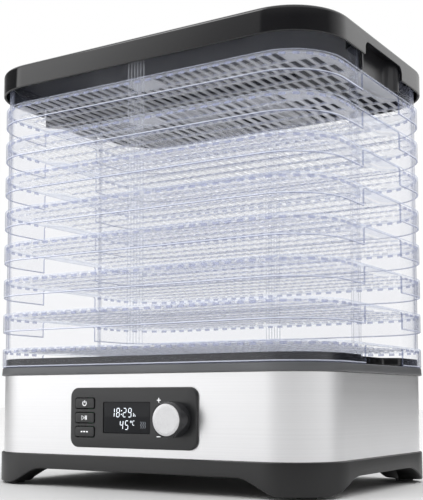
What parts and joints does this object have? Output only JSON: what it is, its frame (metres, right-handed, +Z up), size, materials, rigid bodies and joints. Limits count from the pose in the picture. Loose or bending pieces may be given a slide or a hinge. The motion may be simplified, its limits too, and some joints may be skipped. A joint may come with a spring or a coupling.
{
  "type": "stacked tray dryer",
  "caption": "Rectangular fan dryer: steel-banded base with a control panel and knob, a stack of clear perforated trays, and a glossy black lift-off lid.",
  "frame": {"origin": "centre of the bounding box's base, on the surface that the dryer stands on", "axes": "+Z up; +X to the right as seen from the control panel; the control panel faces -Y"},
  "size_m": [0.3556, 0.2704, 0.385],
  "materials": {
    "clear_tray": "clear, slightly blue moulded plastic",
    "gloss_black": "high gloss",
    "matt_black": "satin",
    "deck_grey": "satin",
    "panel_grey": "satin",
    "band_steel": "brushed along its length",
    "knob_silver": "spun face",
    "screen_black": "glossy",
    "foot_rubber": "matt",
    "board_green": "solder mask",
    "bright_metal": "plain metal",
    "mica_sheet": "matt"
  },
  "bodies": {
    "base": {"base_pan": "matt_black", "steel_band": "band_steel", "top_deck": "deck_grey", "outlet_grille": "matt_black", "panel_plate": "panel_grey", "display_window": "screen_black", "display_module": "screen_black", "control_board": "board_green", "encoder_body": "bright_metal", "fan_duct": "deck_grey", "fan_motor": "bright_metal", "motor_bracket": "bright_metal", "heater_element": "bright_metal", "heater_support": "mica_sheet", "thermostat": "bright_metal", "power_board": "board_green", "cord_inlet": "matt_black", "foot_pad_1": "foot_rubber", "foot_pad_2": "foot_rubber", "foot_pad_3": "foot_rubber", "foot_pad_4": "foot_rubber", "base_screw_1": "bright_metal", "base_screw_2": "bright_metal", "base_screw_3": "bright_metal", "base_screw_4": "bright_metal"},
    "tray_8": {"tray_8": "clear_tray"},
    "tray_7": {"tray_7": "clear_tray"},
    "tray_6": {"tray_6": "clear_tray"},
    "tray_5": {"tray_5": "clear_tray"},
    "tray_4": {"tray_4": "clear_tray"},
    "tray_3": {"tray_3": "clear_tray"},
    "tray_2": {"tray_2": "clear_tray"},
    "tray_1": {"tray_1": "clear_tray"},
    "lid": {"lid_cover": "gloss_black", "lid_frame": "matt_black"},
    "key_power": {"button_power": "panel_grey"},
    "key_play": {"button_play": "panel_grey"},
    "key_set": {"button_set": "panel_grey"},
    "knob": {"knob_body": "matt_black", "knob_cap": "knob_silver", "encoder_shaft": "bright_metal"},
    "fan": {"fan_impeller": "matt_black", "fan_shaft": "bright_metal"}
  },
  "joints": [
    {"name": "tray_8_lift", "type": "slide", "parent": "base", "child": "tray_8", "axis": [0, 0, 1], "range_m": [0, 0.025]},
    {"name": "tray_7_lift", "type": "slide", "parent": "tray_8", "child": "tray_7", "axis": [0, 0, 1], "range_m": [0, 0.025]},
    {"name": "tray_6_lift", "type": "slide", "parent": "tray_7", "child": "tray_6", "axis": [0, 0, 1], "range_m": [0, 0.025]},
    {"name": "tray_5_lift", "type": "slide", "parent": "tray_6", "child": "tray_5", "axis": [0, 0, 1], "range_m": [0, 0.025]},
    {"name": "tray_4_lift", "type": "slide", "parent": "tray_5", "child": "tray_4", "axis": [0, 0, 1], "range_m": [0, 0.025]},
    {"name": "tray_3_lift", "type": "slide", "parent": "tray_4", "child": "tray_3", "axis": [0, 0, 1], "range_m": [0, 0.025]},
    {"name": "tray_2_lift", "type": "slide", "parent": "tray_3", "child": "tray_2", "axis": [0, 0, 1], "range_m": [0, 0.025]},
    {"name": "tray_1_lift", "type": "slide", "parent": "tray_2", "child": "tray_1", "axis": [0, 0, 1], "range_m": [0, 0.025]},
    {"name": "lid_lift", "type": "slide", "parent": "tray_1", "child": "lid", "axis": [0, 0, 1], "range_m": [0, 0.025]},
    {"name": "power_press", "type": "slide", "parent": "base", "child": "key_power", "axis": [0, 1, 0], "range_m": [0, 0.001], "stiffness_N_per_m": 600},
    {"name": "play_press", "type": "slide", "parent": "base", "child": "key_play", "axis": [0, 1, 0], "range_m": [0, 0.001], "stiffness_N_per_m": 600},
    {"name": "set_press", "type": "slide", "parent": "base", "child": "key_set", "axis": [0, 1, 0], "range_m": [0, 0.001], "stiffness_N_per_m": 600},
    {"name": "knob_turn", "type": "hinge", "parent": "base", "child": "knob", "pos_m": [0.0455, -0.12415, 0.06], "axis": [0, -1, 0], "continuous": true},
    {"name": "fan_spin", "type": "hinge", "parent": "base", "child": "fan", "pos_m": [0, 0.01385, 0.063], "axis": [0, 0, 1], "continuous": true}
  ]
}
